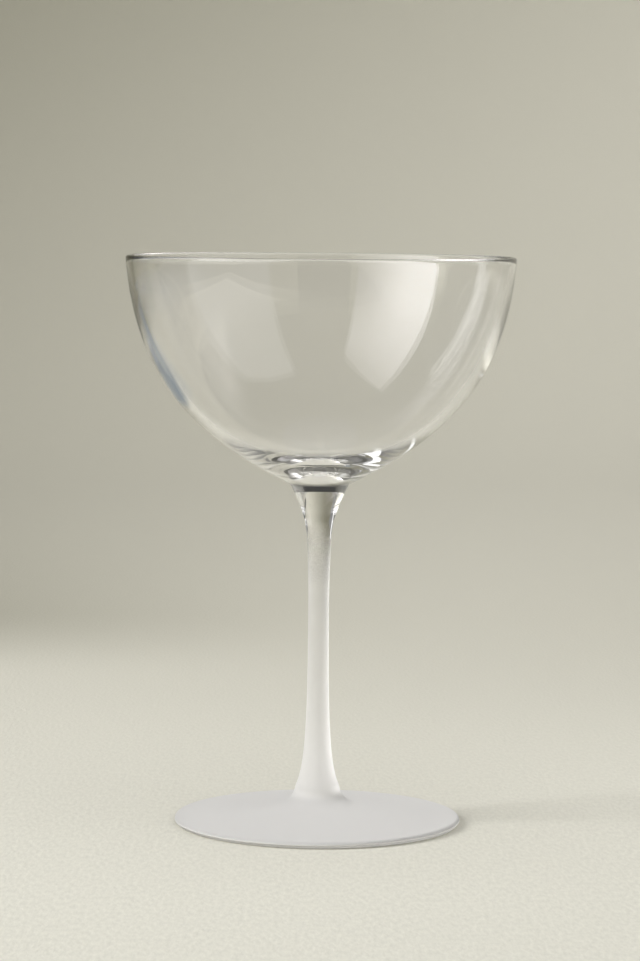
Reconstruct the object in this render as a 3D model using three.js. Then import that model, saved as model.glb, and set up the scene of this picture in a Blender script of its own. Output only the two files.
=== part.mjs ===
// A footed coupe glass, turned about the Z axis, standing on the table at z = 0.
// Three pieces of glass are welded end to end while hot: a blown bowl, a drawn stem and a spun foot.
import * as THREE from 'three';

// Driving dimensions in millimetres, with angles in degrees.
// The three heights stack up from the table to the rim.
const FOOT_HEIGHT = 10.5;
const STEM_LENGTH = 84.2;
const BOWL_HEIGHT = 63.3;

// Bowl: radius of the rim outside, glass at the rim and glass under the middle of the bowl.
const RIM_RADIUS = 54;
const RIM_WALL = 1.8;
const FLOOR_WALL = 5.2;
// The wall leans out a little at the rim, and meets the stem at a shallow slope.
const RIM_LEAN = 4.8;
const BASE_SLOPE = 26;
// Fullness of the bowl's curves, as shares of its own height and radius.
const SIDE_FULLNESS = 0.54;
const BASE_FULLNESS = 0.545;
const INSIDE_FULLNESS = 0.57;
const FLOOR_FULLNESS = 0.44;

// Stem: radius where it is welded to the bowl, at the end of its funnel, at its waist and at the foot.
const BOWL_WELD_RADIUS = 8.1;
const FUNNEL_END_RADIUS = 3.24;
const WAIST_RADIUS = 2.88;
const FOOT_WELD_RADIUS = 6;
// The funnel under the bowl runs straight for a while, then bends into a shaft that still leans a little.
const FUNNEL_LENGTH = 17.7;
const FUNNEL_SLOPE = 24;
const FUNNEL_STRAIGHT = 8.2;
const FUNNEL_BEND = 8.5;
const FUNNEL_LEAN = 2.2;
// The stem spreads again over this length above the foot.
const ANKLE_SLOPE = 24;
const ANKLE_REACH = 6.5;
// Place of the waist between foot and funnel, and how slim the shaft stays below and above it, as shares.
const WAIST_PLACE = 0.75;
const SHAFT_SLIMNESS = 0.62;
const SHAFT_EASE = 0.33;

// Foot: outer radius, thickness at its round edge, and inner radius of the ring that it stands on.
const FOOT_RADIUS = 39.8;
const FOOT_EDGE = 1.9;
const STAND_RADIUS = 33;
// The underside is hollowed by this much at the middle.
const FOOT_HOLLOW = 2.5;
// The top leaves the stem steeply, turns in a small fillet and runs out nearly flat to the edge.
const BOSS_SLOPE = 75;
const BOSS_REACH = 4;
const EDGE_SLOPE = 2.5;
const FLAT_REACH = 33;

// Facets round the axis, the same for every piece so that the welded faces match, and along a curve.
const SEGMENTS = 64;
const BOWL_STEPS = 17;
const STEM_STEPS = 8;
const FOOT_STEPS = 10;
const ROUND_STEPS = 6;

const footWeldHeight = FOOT_HEIGHT;
const bowlWeldHeight = footWeldHeight + STEM_LENGTH;
const rimHeight = bowlWeldHeight + BOWL_HEIGHT;

const point = (radius, height) => new THREE.Vector2(radius, height);

// A step from a point, at an angle up from the horizontal.
function step(from, length, degrees) {
  const angle = THREE.MathUtils.degToRad(degrees);
  return point(from.x + length * Math.cos(angle), from.y + length * Math.sin(angle));
}

function curve(start, startHandle, endHandle, end, steps) {
  return new THREE.CubicBezierCurve(start, startHandle, endHandle, end).getPoints(steps);
}

// Points round a circle, from one angle up from the horizontal to another.
function arc(centre, radius, fromDegrees, toDegrees, steps) {
  return Array.from({ length: steps + 1 }, (_, i) =>
    step(centre, radius, fromDegrees + ((toDegrees - fromDegrees) * i) / steps));
}

// Joins stretches of an outline and drops the point that two neighbours share.
function joined(...stretches) {
  const outline = [];
  for (const place of stretches.flat()) {
    const last = outline.at(-1);
    if (!last || last.distanceTo(place) > Number.EPSILON * RIM_RADIUS) {
      outline.push(place);
    }
  }
  return outline;
}

// Turns an outline, which starts and ends on the axis, into a solid that stands along Z.
function turned(name, outline, material) {
  const geometry = new THREE.LatheGeometry(outline, SEGMENTS);
  geometry.rotateX(Math.PI / 2);
  const mesh = new THREE.Mesh(geometry, material);
  mesh.name = name;
  return mesh;
}

function bowl(material) {
  const beadRadius = RIM_WALL / 2;
  const bead = point(RIM_RADIUS - beadRadius, rimHeight - beadRadius);
  const rim = arc(bead, beadRadius, -RIM_LEAN, 180 - RIM_LEAN, ROUND_STEPS);
  const rimOutside = rim[0];
  const rimInside = rim.at(-1);

  const weldEdge = point(BOWL_WELD_RADIUS, bowlWeldHeight);
  const outside = curve(
    weldEdge,
    step(weldEdge, BASE_FULLNESS * RIM_RADIUS, BASE_SLOPE),
    step(rimOutside, SIDE_FULLNESS * BOWL_HEIGHT, -90 - RIM_LEAN),
    rimOutside,
    BOWL_STEPS,
  );

  const floor = point(0, bowlWeldHeight + FLOOR_WALL);
  const inside = curve(
    rimInside,
    step(rimInside, INSIDE_FULLNESS * BOWL_HEIGHT, -90 - RIM_LEAN),
    step(floor, FLOOR_FULLNESS * rimInside.x, 0),
    floor,
    BOWL_STEPS,
  );

  const weldMiddle = point(0, bowlWeldHeight);
  return turned('bowl', joined([weldMiddle], outside, rim, inside), material);
}

function stem(material) {
  const footEdge = point(FOOT_WELD_RADIUS, footWeldHeight);
  const bowlEdge = point(BOWL_WELD_RADIUS, bowlWeldHeight);
  const funnelEnd = point(FUNNEL_END_RADIUS, bowlWeldHeight - FUNNEL_LENGTH);
  const shaftLength = funnelEnd.y - footWeldHeight;
  const waist = point(WAIST_RADIUS, footWeldHeight + WAIST_PLACE * shaftLength);

  const ankle = curve(
    footEdge,
    step(footEdge, ANKLE_REACH, 90 + ANKLE_SLOPE),
    step(waist, SHAFT_SLIMNESS * (waist.y - footWeldHeight), -90),
    waist,
    STEM_STEPS,
  );
  const shaftPull = SHAFT_EASE * (funnelEnd.y - waist.y);
  const shaft = curve(
    waist,
    step(waist, shaftPull, 90),
    step(funnelEnd, shaftPull, -90 - FUNNEL_LEAN),
    funnelEnd,
    ROUND_STEPS,
  );
  const funnel = curve(
    funnelEnd,
    step(funnelEnd, FUNNEL_BEND, 90 - FUNNEL_LEAN),
    step(bowlEdge, FUNNEL_STRAIGHT, -90 - FUNNEL_SLOPE),
    bowlEdge,
    STEM_STEPS,
  );

  const footMiddle = point(0, footWeldHeight);
  const bowlMiddle = point(0, bowlWeldHeight);
  return turned('stem', joined([footMiddle], ankle, shaft, funnel, [bowlMiddle]), material);
}

function foot(material) {
  // A shallow dome underneath, down to the flat ring that the glass stands on.
  const hollow = Array.from({ length: FOOT_STEPS + 1 }, (_, i) => {
    const share = i / FOOT_STEPS;
    return point(STAND_RADIUS * share, FOOT_HOLLOW * (1 - share * share));
  });

  const edgeRadius = FOOT_EDGE / 2;
  const edgeCentre = point(FOOT_RADIUS - edgeRadius, edgeRadius);
  const edge = arc(edgeCentre, edgeRadius, -90, 90 - EDGE_SLOPE, ROUND_STEPS);

  const topEdge = edge.at(-1);
  const stemEdge = point(FOOT_WELD_RADIUS, footWeldHeight);
  const top = curve(
    topEdge,
    step(topEdge, FLAT_REACH, 180 - EDGE_SLOPE),
    step(stemEdge, BOSS_REACH, -BOSS_SLOPE),
    stemEdge,
    FOOT_STEPS,
  );

  const stemMiddle = point(0, footWeldHeight);
  return turned('foot', joined(hollow, edge, top, [stemMiddle]), material);
}

const clearGlass = new THREE.MeshStandardMaterial({
  name: 'clear_glass', color: '#dfe3df', roughness: 0.03, metalness: 0, transparent: true, opacity: 0.35,
});
const fadingFrost = new THREE.MeshStandardMaterial({
  name: 'fading_frost', color: '#e2dfdb', roughness: 0.45, metalness: 0, transparent: true, opacity: 0.8,
});
const frostedGlass = new THREE.MeshStandardMaterial({
  name: 'frosted_glass', color: '#d6d4d0', roughness: 0.6, metalness: 0, transparent: true, opacity: 0.85,
});

const coupeGlass = new THREE.Group();
coupeGlass.add(bowl(clearGlass), stem(fadingFrost), foot(frostedGlass));

export default coupeGlass;
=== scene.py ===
# %% [markdown]
# A coupe glass is three gathers of hot glass: a blown bowl, a drawn stem and a spun foot.
# This lesson turns each of them as its own closed mesh around the packed model, gives the bowl
# clear glass, lets the stem fade into frost, and lights them as a still life by a large window.
# Lengths are in metres and slopes in degrees, with the foot's middle at the origin and +Z up.

# %% Load the packed model
import math

import bpy
from mathutils import Matrix, Vector


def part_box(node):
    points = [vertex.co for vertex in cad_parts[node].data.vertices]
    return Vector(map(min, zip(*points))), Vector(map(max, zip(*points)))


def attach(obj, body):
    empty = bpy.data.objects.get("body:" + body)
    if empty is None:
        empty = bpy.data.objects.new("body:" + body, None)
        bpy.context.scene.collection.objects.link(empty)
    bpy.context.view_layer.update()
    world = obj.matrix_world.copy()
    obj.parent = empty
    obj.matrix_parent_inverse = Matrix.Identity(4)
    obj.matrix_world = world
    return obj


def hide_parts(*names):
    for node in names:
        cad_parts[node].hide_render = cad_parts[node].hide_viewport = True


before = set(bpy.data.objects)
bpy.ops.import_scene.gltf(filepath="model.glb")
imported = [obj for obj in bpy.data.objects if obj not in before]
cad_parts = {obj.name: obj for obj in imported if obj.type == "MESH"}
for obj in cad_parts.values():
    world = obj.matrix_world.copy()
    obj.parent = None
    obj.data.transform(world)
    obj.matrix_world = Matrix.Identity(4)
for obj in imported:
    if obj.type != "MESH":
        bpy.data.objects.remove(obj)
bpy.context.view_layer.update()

MM = 0.001

# %% [markdown]
# The glass is round, so its whole form is one outline for each piece. The outer sizes are read from
# the packed boxes: a box's half width is a radius, and its lowest and highest corners are heights.
# What a box can't tell, such as the wall or the fullness of a curve, is a named size in its own cell.

# %% Read the sizes
bowl_low, bowl_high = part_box("bowl")
stem_low, stem_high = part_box("stem")
foot_low, foot_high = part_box("foot")

rim_radius = bowl_high[0]
rim_height = bowl_high[2]
bowl_weld_height = bowl_low[2]
bowl_weld_radius = stem_high[0]
foot_radius = foot_high[0]
foot_weld_height = stem_low[2]
foot_weld_radius = 6.0 * MM
bowl_height = rim_height - bowl_weld_height
print(f"rim radius {rim_radius:.4f} at {rim_height:.4f}, foot radius {foot_radius:.4f}")
print(f"upper weld {bowl_weld_radius:.4f} at {bowl_weld_height:.4f}")
print(f"lower weld {foot_weld_radius:.4f} at {foot_weld_height:.4f}")

# %% [markdown]
# An outline runs from the axis, round the piece and back to the axis. Its round stretches are
# Bezier curves and arcs, as on a drawing board. A curve or an arc is a list of places, and a place is
# a radius and a height. Steps by length and angle keep the slopes readable.

# %% Outline helpers
SAME_PLACE = 1e-7


def place(radius, height):
    return Vector((radius, height))


def step(start, length, degrees):
    angle = math.radians(degrees)
    return start + Vector((math.cos(angle), math.sin(angle))) * length


def curve(start, start_handle, end_handle, end, steps):
    places = []
    for i in range(steps + 1):
        t = i / steps
        s = 1 - t
        early = start * s**3 + start_handle * (3 * s * s * t)
        late = end_handle * (3 * s * t * t) + end * t**3
        places.append(early + late)
    return places


def arc(centre, radius, from_degrees, to_degrees, steps):
    sweep = (to_degrees - from_degrees) / steps
    return [step(centre, radius, from_degrees + sweep * i) for i in range(steps + 1)]


def joined(*stretches):
    outline = []
    for here in [spot for stretch in stretches for spot in stretch]:
        if not outline or (here - outline[-1]).length > SAME_PLACE:
            outline.append(here)
    return outline


print("a quarter of a circle ends at", arc(place(0, 0), 1.0, 0, 90, 4)[-1])

# %% [markdown]
# Turning the outline gives rings of quads, with a fan of triangles where it meets the axis. Blender's
# Screw modifier could turn it too, but here the mesh is made directly, so that the flat weld
# faces can have a material of their own: the first or last stretch, which starts or ends on the axis.

# %% Turn an outline into a closed mesh
AROUND = 256
ON_AXIS = 1e-9
SHARP_ANGLE = math.radians(25)


def turned(name, outline, welds):
    rings = []
    vertices = []
    for spot in outline:
        count = 1 if spot.x < ON_AXIS else AROUND
        rings.append([len(vertices) + j for j in range(count)])
        for j in range(count):
            turn = 2 * math.pi * j / AROUND
            vertices.append((spot.x * math.cos(turn), spot.x * math.sin(turn), spot.y))
    faces = []
    weld_faces = []
    for i in range(len(outline) - 1):
        low, high = rings[i], rings[i + 1]
        for j in range(AROUND):
            k = (j + 1) % AROUND
            face = [low[j % len(low)], low[k % len(low)], high[k % len(high)], high[j % len(high)]]
            faces.append(list(dict.fromkeys(face)))
            weld_faces.append(i in welds)
    mesh = bpy.data.meshes.new(name)
    mesh.from_pydata(vertices, [], faces)
    mesh.shade_smooth()
    mesh.set_sharp_from_angle(angle=SHARP_ANGLE)
    for polygon, is_weld in zip(mesh.polygons, weld_faces):
        polygon.material_index = int(is_weld)
    piece = bpy.data.objects.new(name, mesh)
    bpy.context.scene.collection.objects.link(piece)
    print(name, "has", len(faces), "faces,", sum(weld_faces), "of them welded")
    return piece


print("each ring has", AROUND, "corners")

# %% [markdown]
# The bowl is blown into a mould and cut at the top, and a flame rounds the cut into a thin bead. The
# wall leans out a little at the rim, swells, and runs down at a shallow slope to the weld, where the
# glass is several times as thick as at the rim. Two Bezier curves, one outside and one inside, give
# the wall its change of thickness, which a Solidify modifier of one thickness couldn't.

# %% Turn the bowl
RIM_WALL = 1.8 * MM
RIM_LEAN = 4.8
FLOOR_WALL = 5.2 * MM
BASE_SLOPE = 26
BASE_FULLNESS = 0.545
SIDE_FULLNESS = 0.54
INSIDE_FULLNESS = 0.57
FLOOR_FULLNESS = 0.44
CURVE_STEPS = 90
BEAD_STEPS = 16

bead = place(rim_radius - RIM_WALL / 2, rim_height - RIM_WALL / 2)
rim = arc(bead, RIM_WALL / 2, -RIM_LEAN, 180 - RIM_LEAN, BEAD_STEPS)
weld_edge = place(bowl_weld_radius, bowl_weld_height)
outside = curve(
    weld_edge,
    step(weld_edge, BASE_FULLNESS * rim_radius, BASE_SLOPE),
    step(rim[0], SIDE_FULLNESS * bowl_height, -90 - RIM_LEAN),
    rim[0],
    CURVE_STEPS,
)
floor_middle = place(0, bowl_weld_height + FLOOR_WALL)
inside = curve(
    rim[-1],
    step(rim[-1], INSIDE_FULLNESS * bowl_height, -90 - RIM_LEAN),
    step(floor_middle, FLOOR_FULLNESS * rim[-1].x, 0),
    floor_middle,
    CURVE_STEPS,
)
bowl = turned("clear_bowl", joined([place(0, bowl_weld_height)], outside, rim, inside), welds={0})

# %% [markdown]
# The stem is pulled from a gather under the bowl while the glass is soft. That leaves a funnel at its
# top, a waist where it was pulled thinnest, and a flare where it was pressed on the foot. One spline
# through many points could follow it, but three curves that share their ends keep each form apart:
# ankle, shaft and funnel. Both ends are flat faces, because there the stem is welded on.

# %% Turn the stem
FUNNEL_LENGTH = 17.7 * MM
FUNNEL_END_RADIUS = 3.24 * MM
FUNNEL_SLOPE = 24
FUNNEL_STRAIGHT = 8.2 * MM
FUNNEL_BEND = 8.5 * MM
FUNNEL_LEAN = 2.2
WAIST_RADIUS = 2.88 * MM
WAIST_PLACE = 0.75
SHAFT_SLIMNESS = 0.62
SHAFT_EASE = 0.33
ANKLE_SLOPE = 24
ANKLE_REACH = 6.5 * MM

foot_edge = place(foot_weld_radius, foot_weld_height)
funnel_end = place(FUNNEL_END_RADIUS, bowl_weld_height - FUNNEL_LENGTH)
waist = place(WAIST_RADIUS, foot_weld_height + WAIST_PLACE * (funnel_end.y - foot_weld_height))
ankle = curve(
    foot_edge,
    step(foot_edge, ANKLE_REACH, 90 + ANKLE_SLOPE),
    step(waist, SHAFT_SLIMNESS * (waist.y - foot_weld_height), -90),
    waist,
    CURVE_STEPS,
)
shaft_pull = SHAFT_EASE * (funnel_end.y - waist.y)
shaft = curve(
    waist,
    step(waist, shaft_pull, 90),
    step(funnel_end, shaft_pull, -90 - FUNNEL_LEAN),
    funnel_end,
    CURVE_STEPS,
)
funnel = curve(
    funnel_end,
    step(funnel_end, FUNNEL_BEND, 90 - FUNNEL_LEAN),
    step(weld_edge, FUNNEL_STRAIGHT, -90 - FUNNEL_SLOPE),
    weld_edge,
    CURVE_STEPS,
)
stem_outline = joined([place(0, foot_weld_height)], ankle, shaft, funnel, [place(0, bowl_weld_height)])
stem = turned("fading_stem", stem_outline, welds={0, len(stem_outline) - 2})
print(f"the waist is {2 * waist.x:.4f} across, at {waist.y:.4f}")

# %% [markdown]
# The foot is a third gather, spun out into a disc and rubbed up to the stem. It stands on a flat ring,
# and the middle is hollowed so that the glass doesn't rock. The hollow is a parabola, the edge is an
# arc, and one curve runs from the edge nearly flat to the steep fillet at the stem.

# %% Turn the foot
FOOT_EDGE = 1.9 * MM
STAND_RADIUS = 33 * MM
FOOT_HOLLOW = 2.5 * MM
EDGE_SLOPE = 2.5
FLAT_REACH = 33 * MM
BOSS_SLOPE = 75
BOSS_REACH = 4 * MM

hollow = []
for i in range(CURVE_STEPS + 1):
    share = i / CURVE_STEPS
    hollow.append(place(STAND_RADIUS * share, FOOT_HOLLOW * (1 - share * share)))
edge_centre = place(foot_radius - FOOT_EDGE / 2, FOOT_EDGE / 2)
edge = arc(edge_centre, FOOT_EDGE / 2, -90, 90 - EDGE_SLOPE, BEAD_STEPS)
foot_top = curve(
    edge[-1],
    step(edge[-1], FLAT_REACH, 180 - EDGE_SLOPE),
    step(foot_edge, BOSS_REACH, -BOSS_SLOPE),
    foot_edge,
    CURVE_STEPS,
)
foot_outline = joined(hollow, edge, foot_top, [place(0, foot_weld_height)])
foot = turned("frosted_foot", foot_outline, welds={len(foot_outline) - 2})

# %% [markdown]
# Shader maths reads best as plain expressions. The class below wraps a socket, so that 1 - mask or
# height * 3 adds the Math node that it needs, and one method adds any other node. An input called i0
# is the socket at that index, for nodes whose sockets share a name. An output goes by name or index.

# %% A socket that can be calculated with
class Wire:
    def __init__(self, tree, socket):
        self.tree = tree
        self.socket = socket

    def node(self, kind, settings=None, out=0, **inputs):
        made = self.tree.nodes.new(kind)
        for name, value in (settings or {}).items():
            setattr(made, name, value)
        for name, value in inputs.items():
            by_index = name[0] == "i" and name[1:].isdigit()
            key = int(name[1:]) if by_index else name.replace("_", " ")
            if isinstance(value, Wire):
                self.tree.links.new(value.socket, made.inputs[key])
            else:
                made.inputs[key].default_value = value
        return Wire(self.tree, made.outputs[out])

    def maths(self, operation, first, second=0.0):
        return self.node("ShaderNodeMath", {"operation": operation}, i0=first, i1=second)

    def __add__(self, other):
        return self.maths("ADD", self, other)

    __radd__ = __add__

    def __mul__(self, other):
        return self.maths("MULTIPLY", self, other)

    __rmul__ = __mul__

    def __sub__(self, other):
        return self.maths("SUBTRACT", self, other)

    def __rsub__(self, other):
        return self.maths("SUBTRACT", other, self)


print("a wire can", [name for name in vars(Wire) if not name.startswith("__")])

# %% [markdown]
# Every finish below starts with an empty material and ends in its surface. In between, most of them
# ask where a point lies on its piece, and blend softly from one look to another with height. A Color
# Ramp could blend too, but a Map Range with smooth steps keeps the two heights as plain numbers.

# %% Finish helpers
def finish_named(name):
    material = bpy.data.materials.new(name)
    material.use_nodes = True
    tree = material.node_tree
    tree.nodes.clear()
    return material, Wire(tree, None)


def surface(start, shader):
    output = start.tree.nodes.new("ShaderNodeOutputMaterial")
    start.tree.links.new(shader.socket, output.inputs["Surface"])


def place_on_piece(wire):
    return wire.node("ShaderNodeTexCoord", out="Object")


def along(where, axis):
    return where.node("ShaderNodeSeparateXYZ", out=axis, Vector=where)


def rise(value, low, high, start=0.0, end=1.0):
    return value.node(
        "ShaderNodeMapRange",
        {"interpolation_type": "SMOOTHSTEP"},
        Value=value,
        From_Min=low,
        From_Max=high,
        To_Min=start,
        To_Max=end,
    )


def described(material):
    print(material.name, "has", len(material.node_tree.nodes), "nodes")
    return material


print("finishes before the first one here:", len(bpy.data.materials))

# %% [markdown]
# Clear blown glass is smooth, but never perfectly so: slow ripples stay in the wall and make the
# reflections bend a little. Full transmission with no roughness gives the glass, and a faint, wide
# noise as a bump gives the ripples. The refractive index is that of ordinary tableware.

# %% Clear glass
GLASS_IOR = 1.52
CLEAR_TINT = (0.99, 0.988, 0.986, 1)
RIPPLE_SCALE = 45.0
RIPPLE_STRENGTH = 0.02
RIPPLE_DEPTH = 0.5 * MM


def glass_shader(wire, tint, roughness, normal):
    return wire.node(
        "ShaderNodeBsdfPrincipled",
        Base_Color=tint,
        Roughness=roughness,
        IOR=GLASS_IOR,
        Transmission_Weight=1.0,
        Normal=normal,
    )


def clear_glass():
    material, wire = finish_named("clear_glass")
    ripple = wire.node("ShaderNodeTexNoise", Vector=place_on_piece(wire), Scale=RIPPLE_SCALE, Detail=1.0)
    bump = wire.node("ShaderNodeBump", Strength=RIPPLE_STRENGTH, Distance=RIPPLE_DEPTH, Height=ripple)
    surface(wire, glass_shader(wire, CLEAR_TINT, 0.0, bump))
    return described(material)


bowl_finish = clear_glass()

# %% [markdown]
# Frost is etched or sandblasted into the surface, which then scatters light both back and through.
# Rough transmission alone looks too dark and too see-through. Volume scattering could be used too, but
# it is slow and noisy. So rough glass is mixed with milk: a matte part that reflects, and a
# translucent part that lets light through from the other side.

# %% Frost
ETCHED_TINT = (0.985, 0.985, 0.98, 1)
MATTE_MILK = (0.95, 0.94, 0.93)
THROUGH_MILK = (0.90, 0.895, 0.885)
GRAIN_SCALE = 2500.0
GRAIN_STRENGTH = 0.1
GRAIN_DEPTH = 0.1 * MM
EDGE_MILK = 0.7


def pale(colour, paleness):
    return tuple(channel * paleness for channel in colour) + (1,)


def frosted_shader(wire, normal, roughness, milkiness, matteness, paleness):
    etched = glass_shader(wire, ETCHED_TINT, roughness, normal)
    matte = wire.node("ShaderNodeBsdfDiffuse", Color=pale(MATTE_MILK, paleness), Normal=normal)
    through = wire.node("ShaderNodeBsdfTranslucent", Color=pale(THROUGH_MILK, paleness), Normal=normal)
    milk = wire.node("ShaderNodeMixShader", i0=matteness, i1=through, i2=matte)
    return wire.node("ShaderNodeMixShader", i0=milkiness, i1=etched, i2=milk)


def etched_grain(where):
    return where.node("ShaderNodeTexNoise", Vector=where, Scale=GRAIN_SCALE, Detail=2.0)


def milk_at_edges(wire):
    facing_away = wire.node("ShaderNodeLayerWeight", out="Facing", Blend=0.5)
    return facing_away * facing_away * EDGE_MILK


print("the milk reflects", MATTE_MILK, "and lets through", THROUGH_MILK)

# %% [markdown]
# The frost on the stem ends below the bowl, and thins out there in specks, as a sprayed or etched
# finish does. A painted mask could hold that end. Here it is the height with a fine noise added, so
# that it breaks up by itself. Lower down the frost is milkier, most of all in the flare.

# %% Fading frost
FROST_STARTS = 89.5 * MM
FROST_FULL = 66.5 * MM
SPECKLE_SCALE = 2200.0
SPECKLE_REACH = 5 * MM
THIN_MILK_HEIGHT = 75 * MM
THIN_MILK = 0.32
THICK_MILK_HEIGHT = 12 * MM
THICK_MILK = 0.75
FLARE_STARTS = 32 * MM
FLARE_ENDS = 13 * MM
FLARE_MILK = 0.2
STEM_ROUGHNESS = 0.35
STEM_MATTENESS = 0.3
STEM_PALENESS = 0.985


def fading_frost():
    material, wire = finish_named("fading_frost")
    where = place_on_piece(wire)
    height = along(where, "Z")
    speckle = wire.node("ShaderNodeTexNoise", Vector=where, Scale=SPECKLE_SCALE, Detail=2.0)
    frost = rise(height + speckle * SPECKLE_REACH, FROST_STARTS, FROST_FULL)
    grain = etched_grain(where) * frost
    bump = wire.node("ShaderNodeBump", Strength=GRAIN_STRENGTH, Distance=GRAIN_DEPTH, Height=grain)
    milky = rise(height, THIN_MILK_HEIGHT, THICK_MILK_HEIGHT, THIN_MILK, THICK_MILK)
    milky = milky + rise(height, FLARE_STARTS, FLARE_ENDS) * FLARE_MILK + milk_at_edges(wire)
    frosted = frosted_shader(wire, bump, STEM_ROUGHNESS, milky, STEM_MATTENESS, STEM_PALENESS)
    clear = glass_shader(wire, CLEAR_TINT, 0.0, bump)
    surface(wire, wire.node("ShaderNodeMixShader", i0=frost, i1=clear, i2=frosted))
    return described(material)


stem_finish = fading_frost()

# %% [markdown]
# The foot is frosted all over, and its disc looks flatter than its form: light that enters an etched
# disc spreads sideways before it leaves. To get that without a volume, the normals are pressed towards
# the vertical, except on the boss, where the foot has to look like the stem that it runs into.

# %% Frosted glass
BOSS_LOW = 6 * MM
BOSS_HIGH = 10.5 * MM
DISC_SLOPE_KEPT = 0.15
DISC_ROUGHNESS = 0.5
DISC_MILK = 0.9
DISC_MATTENESS = 0.7
DISC_PALENESS = 0.867


def softened_normal(wire, height, slope_kept):
    facing_out = wire.node("ShaderNodeNewGeometry", out="Normal")
    scale = wire.node("ShaderNodeCombineXYZ", X=slope_kept, Y=slope_kept, Z=1.0)
    pressed = wire.node("ShaderNodeVectorMath", {"operation": "MULTIPLY"}, i0=facing_out, i1=scale)
    level = wire.node("ShaderNodeVectorMath", {"operation": "NORMALIZE"}, i0=pressed)
    return wire.node(
        "ShaderNodeBump", Strength=GRAIN_STRENGTH, Distance=GRAIN_DEPTH, Height=height, Normal=level
    )


def frosted_glass():
    material, wire = finish_named("frosted_glass")
    where = place_on_piece(wire)
    boss = rise(along(where, "Z"), BOSS_LOW, BOSS_HIGH)
    slope_kept = DISC_SLOPE_KEPT + boss * (1 - DISC_SLOPE_KEPT)
    bump = softened_normal(wire, etched_grain(where), slope_kept)
    disc = frosted_shader(wire, bump, DISC_ROUGHNESS, DISC_MILK, DISC_MATTENESS, DISC_PALENESS)
    drawn_milk = THICK_MILK + FLARE_MILK + milk_at_edges(wire)
    drawn = frosted_shader(wire, bump, STEM_ROUGHNESS, drawn_milk, STEM_MATTENESS, STEM_PALENESS)
    surface(wire, wire.node("ShaderNodeMixShader", i0=boss, i1=disc, i2=drawn))
    return described(material)


foot_finish = frosted_glass()

# %% [markdown]
# Where two gathers are welded, there is no surface between them in the real glass. The meshes are
# closed, so each has a flat face there, and light would bend and reflect at it. Joining the meshes
# would lose the pieces, so the weld faces get a transparent material that light passes unchanged.
# The clear bowl throws no shadow, because real clear glass lets nearly all of the light through.

# %% Place the pieces
def welded_face():
    material, wire = finish_named("welded_face")
    surface(wire, wire.node("ShaderNodeBsdfTransparent", Color=(1, 1, 1, 1)))
    return described(material)


weld = welded_face()
for piece, node, slot, finish in (
    (bowl, "bowl", "clear_glass", bowl_finish),
    (stem, "stem", "fading_frost", stem_finish),
    (foot, "foot", "frosted_glass", foot_finish),
):
    piece.data.materials.append(finish)
    piece.data.materials.append(weld)
    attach(piece, "root")
    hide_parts(node)
    print(piece.name, "stands for", node, "in", slot)
bowl.visible_shadow = False

# %% [markdown]
# The camera stands almost a metre away with a long lens, a little above the rim, so that the rim shows
# as a thin ellipse and the foot as a wider one. It could be aimed by a Track To constraint. Written as
# a matrix, its small pitch and roll stay two plain angles.

# %% Camera
CAMERA_DISTANCE = 0.9014
CAMERA_HEIGHT = 0.1731
CAMERA_SHIFT = 0.0001
CAMERA_PITCH = 4.905
CAMERA_ROLL = 0.45
CAMERA_LENS = 122.1
SENSOR_WIDTH = 36.0

camera_data = bpy.data.cameras.new("camera")
camera_data.lens = CAMERA_LENS
camera_data.sensor_width = SENSOR_WIDTH
camera = bpy.data.objects.new("camera", camera_data)
pitch = Matrix.Rotation(math.radians(90 - CAMERA_PITCH), 4, "X")
roll = Matrix.Rotation(math.radians(CAMERA_ROLL), 4, "Z")
stand = Matrix.Translation((CAMERA_SHIFT, -CAMERA_DISTANCE, CAMERA_HEIGHT))
camera.matrix_world = stand @ pitch @ roll
bpy.context.scene.collection.objects.link(camera)
bpy.context.scene.camera = camera
print("the camera looks along", (camera.matrix_world.to_3x3() @ Vector((0, 0, -1)))[:])

# %% [markdown]
# A photographer's table and wall are often one sheet of paper that sweeps up behind the object, so that
# no corner shows. Here the sweep goes all the way round, as a dish, so that every side of the glass has
# a quiet backdrop. It is turned by the same function as the pieces, and lies a hair under the foot.

# %% Turn the stage
STAGE_DROP = 0.2 * MM
STAGE_RADIUS = 2.6
STAGE_HEIGHT = 1.6
SWEEP_RADIUS = 1.5
SWEEP_STEPS = 24
TABLE_RINGS = (0.1, 0.3, 0.6, 0.9)

sweep_centre = place(STAGE_RADIUS - SWEEP_RADIUS, SWEEP_RADIUS)
stage_outline = [place(0, 0)]
stage_outline += [place(radius, 0) for radius in TABLE_RINGS]
stage_outline += arc(sweep_centre, SWEEP_RADIUS, -90, 0, SWEEP_STEPS)
stage_outline.append(place(STAGE_RADIUS, STAGE_HEIGHT))
dish = turned("stage_dish", stage_outline, welds=set())
dish.location.z = -STAGE_DROP

# %% [markdown]
# The table is off-white paper with a fine tooth, and the wall behind it is darker: the colour darkens
# from the table's front towards the wall as painted shade, for light that grows weaker with distance.
# A soft painted shade also lies over the far left, as when a curtain keeps the window off the wall.
# Lamps could draw that shade, but paint holds it still while the light on the glass is being set. The
# shade follows the bearing round the glass and leans with height, and the tooth's specks of colour fade
# out behind the glass.

# %% Stage paper
TABLE_COLOUR = (0.76, 0.745, 0.665, 1)
WALL_IN_PAINTED_SHADE = (0.66, 0.64, 0.555, 1)
SHADE_COLOUR = (0.21, 0.2, 0.14, 1)
SHADE_BEARING = (0.15, -0.75)
SHADE_LEAN = 0.7
LEAN_TOP = 0.45
SHADE_BEGINS = (0.27, 0.47)
PAINTED_FALLOFF = (-0.15, 0.5)
TOOTH_STRETCH = (1.0, 0.35, 1.0)
TOOTH_SCALE = 800.0
TOOTH_CONTRAST = 0.28
TOOTH_FADES = (-0.1, 0.35)
TOOTH_STRENGTH = 0.25
TOOTH_DEPTH = 0.6 * MM
PAPER_ROUGHNESS = 0.9


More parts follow.
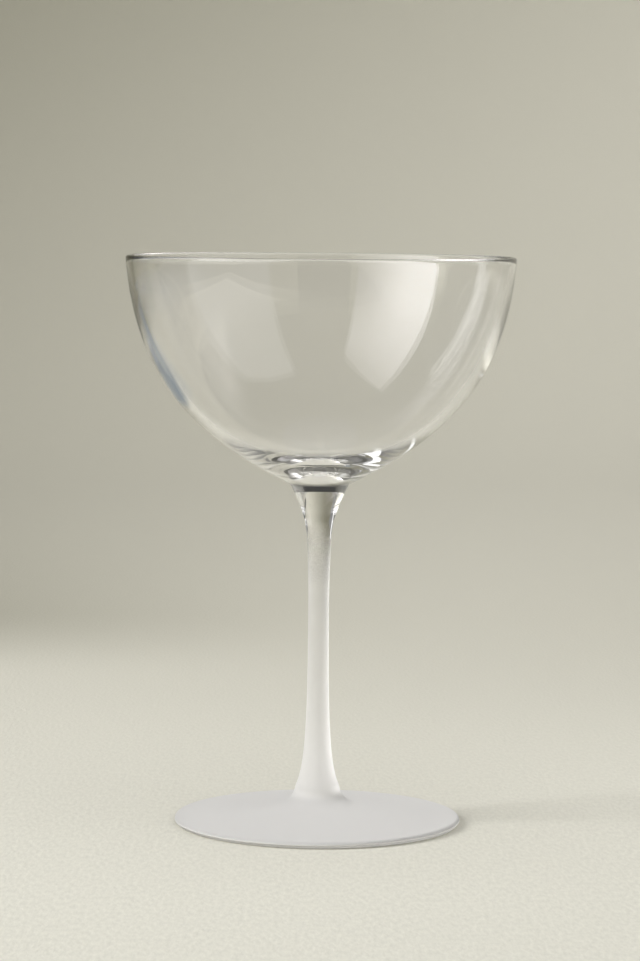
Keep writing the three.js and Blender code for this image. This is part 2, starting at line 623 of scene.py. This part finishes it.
def blended(wire, share, first, second):
    return wire.node("ShaderNodeMix", {"data_type": "RGBA"}, out=2, i0=share, i6=first, i7=second)


def stage_paper():
    material, wire = finish_named("stage_paper")
    where = place_on_piece(wire)
    x, y, z = [along(where, axis) for axis in "XYZ"]
    bearing = wire.maths("ARCTAN2", x, y)
    shade = rise(bearing - wire.maths("MINIMUM", z, LEAN_TOP) * SHADE_LEAN, *SHADE_BEARING)
    # painted shade: the paper's colour darkens from the table's front towards the wall
    ground = blended(wire, rise(y, *PAINTED_FALLOFF), TABLE_COLOUR, WALL_IN_PAINTED_SHADE)
    colour = blended(wire, shade * rise(y, *SHADE_BEGINS), ground, SHADE_COLOUR)
    stretched = wire.node("ShaderNodeVectorMath", {"operation": "MULTIPLY"}, i0=where, i1=TOOTH_STRETCH)
    tooth = wire.node("ShaderNodeTexNoise", Vector=stretched, Scale=TOOTH_SCALE, Detail=3.0)
    speck = 1 + (tooth - 0.5) * TOOTH_CONTRAST * (1 - rise(y, *TOOTH_FADES))
    colour = wire.node("ShaderNodeVectorMath", {"operation": "SCALE"}, i0=colour, Scale=speck)
    bump = wire.node("ShaderNodeBump", Strength=TOOTH_STRENGTH, Distance=TOOTH_DEPTH, Height=tooth)
    paper = wire.node("ShaderNodeBsdfPrincipled", Base_Color=colour, Roughness=PAPER_ROUGHNESS, Normal=bump)
    surface(wire, paper)
    return described(material)


dish.data.materials.append(stage_paper())

# %% [markdown]
# Area lamps light the paper and the frost. They aren't seen in or through the glass, because what it
# shows is set by cards further down, which can have any outline. A lamp's strength is given as a
# radiance, so that a larger lamp gives more light at the same brightness.

# %% Lamp helpers
def around(azimuth, distance, height):
    turn = math.radians(azimuth)
    return Vector((-math.sin(turn) * distance, -math.cos(turn) * distance, height))


def lamp_at(name, spot, target, width, height, radiance):
    light = bpy.data.lights.new(name, "AREA")
    light.shape = "RECTANGLE"
    light.size = width
    light.size_y = height
    light.energy = radiance * math.pi * width * height
    lamp = bpy.data.objects.new(name, light)
    lamp.location = spot
    lamp.rotation_euler = (Vector(target) - Vector(spot)).to_track_quat("-Z", "Y").to_euler()
    for hidden in ("visible_camera", "visible_glossy", "visible_transmission"):
        setattr(lamp, hidden, False)
    bpy.context.scene.collection.objects.link(lamp)
    print(f"{name} gives {light.energy:.2f} W")
    return lamp


def gathered(name, things):
    group = bpy.data.collections.new(name)
    for thing in things:
        group.objects.link(thing)
    return group


print("azimuth 90 is at", around(90, 1.0, 0.0)[:])

# %% [markdown]
# The key comes from the window side. On the table it throws the shadow of foot and stem. Inside the
# frosted glass it should throw none, because light wanders through frost, which these surfaces don't
# do. So the key is made twice with light linking: one lamp for the table, and one for the glass.

# %% Key lamps
KEY_SPOT = around(74, 2.0, 1.25)
KEY_TARGET = (0, 0, 0.05)
KEY_WIDTH = 0.9
KEY_HEIGHT = 1.3
KEY_RADIANCE = 12.3

for name, lit, shading in (
    ("key_on_table", [dish], [foot, stem]),
    ("key_on_glass", [bowl, stem, foot], [dish]),
):
    key = lamp_at(name, KEY_SPOT, KEY_TARGET, KEY_WIDTH, KEY_HEIGHT, KEY_RADIANCE)
    key.light_linking.receiver_collection = gathered(name + "_lights", lit)
    key.light_linking.blocker_collection = gathered(name + "_shaded_by", shading)

# %% [markdown]
# The other lamps are weaker. A fill and a top lamp stand for the light that a pale room gives back, a
# small strip lights the stem's edge from behind at the right, and one lamp brightens the far wall.

# %% Other lamps
for name, spot, target, width, height, radiance in (
    ("fill", around(-70, 2.2, 1.9), (0, 0, 0.05), 2.4, 1.6, 1.85),
    ("top", (0, -0.4, 2.6), (0, -0.2, 0.0), 2.4, 2.4, 1.05),
    ("edge_strip", around(-125, 1.2, 0.24), (0, 0, 0.06), 0.3, 0.4, 2.3),
    ("wall_lamp", (0.5, 1.3, 1.7), (0.25, 2.5, 0.25), 1.6, 0.5, 2.85),
):
    lamp_at(name, spot, target, width, height, radiance)

# %% [markdown]
# Clear glass has no colour to speak of: what one sees is the room mirrored in four surfaces, outside
# and inside, front and back. Each thing in that room is a card here, a flat polygon that glows and is
# seen only in or through the glass. An environment picture could do it, but cards can be moved one by
# one. A paint dims a card from place to place, and a mask makes it fade out.

# %% Card helpers
BLACK = (0, 0, 0, 1)


def card(name, corners, glow, tint=(1, 1, 1), paint=None, mask=None):
    mesh = bpy.data.meshes.new(name)
    mesh.from_pydata(corners, [], [tuple(range(len(corners)))])
    material, wire = finish_named(name)
    where = place_on_piece(wire)
    x, y, z = [along(where, axis) for axis in "XYZ"]
    colour = tuple(tint) + (1,)
    if paint:
        colour = blended(wire, paint(x, y, z), BLACK, colour)
    shader = wire.node(
        "ShaderNodeBsdfPrincipled",
        Base_Color=BLACK,
        Specular_IOR_Level=0.0,
        Emission_Color=colour,
        Emission_Strength=glow,
    )
    if mask:
        clear = wire.node("ShaderNodeBsdfTransparent", Color=(1, 1, 1, 1))
        shader = wire.node("ShaderNodeMixShader", i0=mask(x, y, z), i1=clear, i2=shader)
    surface(wire, shader)
    mesh.materials.append(material)
    thing = bpy.data.objects.new(name, mesh)
    for hidden in ("visible_camera", "visible_diffuse", "visible_shadow"):
        setattr(thing, hidden, False)
    bpy.context.scene.collection.objects.link(thing)
    print(f"{name} is {mesh.polygons[0].area:.2f} square metres and glows {glow}")


def leaning(azimuth, distance, *spots):
    return [around(azimuth, distance, height) + around(azimuth + 90, across, 0) for across, height in spots]


def upright(azimuth, distance, width, low, high):
    half = width / 2
    return leaning(azimuth, distance, (-half, low), (half, low), (half, high), (-half, high))


def lying(left, right, near, far, height):
    return [(left, near, height), (right, near, height), (right, far, height), (left, far, height)]


print("an upright card of 1 by 1 has corners", [corner[:] for corner in upright(0, 1.0, 1.0, 0.0, 1.0)])

# %% [markdown]
# The window is the brightest thing in the room, and the bowl mirrors it as a leaning quad. Its light
# isn't even: a curtain dims one side and the top. The paint reads how far across and how steeply up
# from the bowl a point lies, because that is how the bowl sees it.

# %% Window
WINDOW_AZIMUTH = 51
WINDOW_DISTANCE = 1.8
WINDOW_SPOTS = ((-0.92, 0.42), (0.99, 0.42), (1.68, 4.4), (-0.92, 3.1))
WINDOW_GLOW = 5.2
WINDOW_TINT = (1.0, 0.975, 0.985)
BOWL_MIDDLE = 0.13


def through_curtain(x, y, z):
    turn = math.radians(WINDOW_AZIMUTH)
    across = y * math.sin(turn) - x * math.cos(turn)
    reach = across.maths("POWER", across * across + WINDOW_DISTANCE**2, 0.5)
    slope = across.maths("DIVIDE", z - BOWL_MIDDLE, reach)
    side = rise(across, -0.95, 0.45)
    height = rise(slope, 0.27, 1.0)
    low_part = side * 0.78 + 0.22
    high_part = side * 0.2 + 0.38
    valance = 1 - rise(slope, 0.85, 1.75) * 0.55
    return (low_part * (1 - height) + high_part * height) * valance


window_corners = leaning(WINDOW_AZIMUTH, WINDOW_DISTANCE, *WINDOW_SPOTS)
card("window", window_corners, WINDOW_GLOW, tint=WINDOW_TINT, paint=through_curtain)

# %% [markdown]
# The rest of the room stands round the table. A large white card at the right answers the window, a
# narrow bright strip stands behind at the left, and dark panels in between leave parts of the bowl
# without a bright reflection, so that its wall still reads against the pale paper.

# %% Upright cards
WHITE_CARD_SPOTS = ((-0.97, 0.35), (1.28, 0.35), (1.28, 5.0), (-0.97, 2.9))

card("side_strip", upright(124, 1.5, 0.26, 0.1, 1.2), 1.5)
card("white_card", leaning(-68, 1.9, *WHITE_CARD_SPOTS), 1.0)
for name, azimuth, distance, width, high, glow in (
    ("dark_camera_side", 2, 1.6, 1.0, 1.3, 0.15),
    ("dark_left", 118, 1.9, 2.2, 1.6, 0.16),
    ("dark_right_behind", -113, 1.9, 1.2, 0.75, 0.16),
    ("dark_right_low", -68, 1.8, 2.6, 0.3, 0.16),
):
    card(name, upright(azimuth, distance, width, 0.0, high), glow)

# %% [markdown]
# The bowl mirrors the table as well. A bright edge runs along the table's front and its left side, and
# beside the glass lies a strip of sun. The paper could be painted so, but then the camera would see it
# too. These cards float about a millimetre over the paper and throw no shadow on it.

# %% Table cards
TABLE_LEFT = -0.51
TABLE_FRONT = -0.35
TABLE_BACK = 0.2
EDGE_WIDTH = 0.04
EDGE_RIGHT = 0.3
SUNLIT_TINT = (1.0, 0.97, 0.9)


def fades_on_table(x, y, z):
    return (1 - rise(x, -0.34, -0.06)) * (1 - rise(y + x * 0.4, -0.25, 0.1))


def fades_along_edge(x, y, z):
    return (1 - rise(x, -0.35, 0.15)) * (1 - rise(y, -0.1, TABLE_BACK))


def strip_of_sun(x, y, z):
    lengthwise = rise(x, -0.36, -0.24) * (1 - rise(x, -0.13, -0.07))
    crosswise = rise(y - x * 0.8, 0.026, 0.076) * (1 - rise(y, -0.04, 0.04))
    return lengthwise * crosswise


table_corners = lying(TABLE_LEFT, 0.05, TABLE_FRONT, TABLE_BACK, 0.6 * MM)
card("table_left", table_corners, 1.4, tint=SUNLIT_TINT, mask=fades_on_table)
edge_corners = [
    (TABLE_LEFT - EDGE_WIDTH, TABLE_FRONT - EDGE_WIDTH, 1 * MM),
    (EDGE_RIGHT, TABLE_FRONT - EDGE_WIDTH, 1 * MM),
    (EDGE_RIGHT, TABLE_FRONT, 1 * MM),
    (TABLE_LEFT, TABLE_FRONT, 1 * MM),
    (TABLE_LEFT, TABLE_BACK, 1 * MM),
    (TABLE_LEFT - EDGE_WIDTH, TABLE_BACK, 1 * MM),
]
card("table_edge", edge_corners, 1.6, tint=SUNLIT_TINT, mask=fades_along_edge)
sun_corners = lying(-0.36, -0.07, -0.3, 0.04, 0.8 * MM)
card("table_sun", sun_corners, 1.75, tint=SUNLIT_TINT, mask=strip_of_sun)

# %% [markdown]
# Past the table's edge the bowl mirrors the floor of the room, which is darker. Behind the glass at
# the left lies a blue-grey sheet, called a flag here, which draws a blue band in the bowl. One side of
# it is cut slantwise by its mask, which keeps the band narrow.

# %% Floor cards
FLOOR_TINT = (1.0, 0.98, 0.93)
FAR_FLOOR_TINT = (0.97, 0.98, 0.97)
FLAG_TINT = (0.82, 0.93, 1.0)
FLOOR_GLOW = 0.4
FLOOR_NEAR = -1.2
FAR_FLOOR_NEAR = -0.3


def lit_floor(x, y, z):
    pool = rise(x, -1.3, -0.5) * rise(y, FAR_FLOOR_NEAR, -0.05) * (1 - rise(y, 0.1, 0.4))
    return pool * 0.6 + FLOOR_GLOW - rise(y, 0.3, 0.6) * 0.1


def up_to_table(x, y, z):
    return 1 - rise(x, -0.55, -0.45)


def slanting_flag(x, y, z):
    near_side = rise(y, 0.2, 0.25) * rise(y + x * 2.2, -0.27, -0.19)
    return near_side * (1 - rise(y, 0.48, 0.66)) * (1 - rise(x, -0.165, -0.145))


floor_corners = lying(-1.6, TABLE_LEFT, FLOOR_NEAR, FAR_FLOOR_NEAR, 0.6 * MM)
card("floor_left", floor_corners, FLOOR_GLOW, tint=FLOOR_TINT)
far_floor_corners = lying(-1.8, -0.45, FAR_FLOOR_NEAR, 0.9, 0.4 * MM)
card("floor_left_behind", far_floor_corners, 1.0, tint=FAR_FLOOR_TINT, paint=lit_floor, mask=up_to_table)
front_corners = lying(TABLE_LEFT, EDGE_RIGHT, FLOOR_NEAR, TABLE_FRONT, 0.6 * MM)
card("floor_front", front_corners, FLOOR_GLOW, tint=FLOOR_TINT)
flag_corners = lying(-0.46, -0.12, 0.18, 0.66, 2 * MM)
card("blue_flag", flag_corners, 0.30, tint=FLAG_TINT, mask=slanting_flag)

# %% [markdown]
# What is left of the room is almost dark, so the world only lifts the deepest tones a little.

# %% Room
ROOM_COLOUR = (0.98, 0.98, 1.0, 1)
ROOM_STRENGTH = 0.03

world = bpy.data.worlds.new("room")
world.use_nodes = True
room = world.node_tree.nodes["Background"]
room.inputs["Color"].default_value = ROOM_COLOUR
room.inputs["Strength"].default_value = ROOM_STRENGTH
bpy.context.scene.world = world
print("the room glows", ROOM_STRENGTH)

# %% [markdown]
# Light that enters the rim or the thick base is thrown back inside the glass many times before it
# leaves. With few bounces such paths end black, as dark lines along the rim, so many are allowed.

# %% Render settings
GLASS_BOUNCES = 56

scene = bpy.context.scene
scene.view_settings.view_transform = "Standard"
scene.cycles.use_denoising = True
scene.cycles.max_bounces = GLASS_BOUNCES
scene.cycles.transmission_bounces = GLASS_BOUNCES
scene.cycles.glossy_bounces = GLASS_BOUNCES
print("light may bounce", scene.cycles.max_bounces, "times")

# %% [markdown]
# The dressed glass and the packed solids were turned from the same outlines, so their boxes should
# agree within a hair.
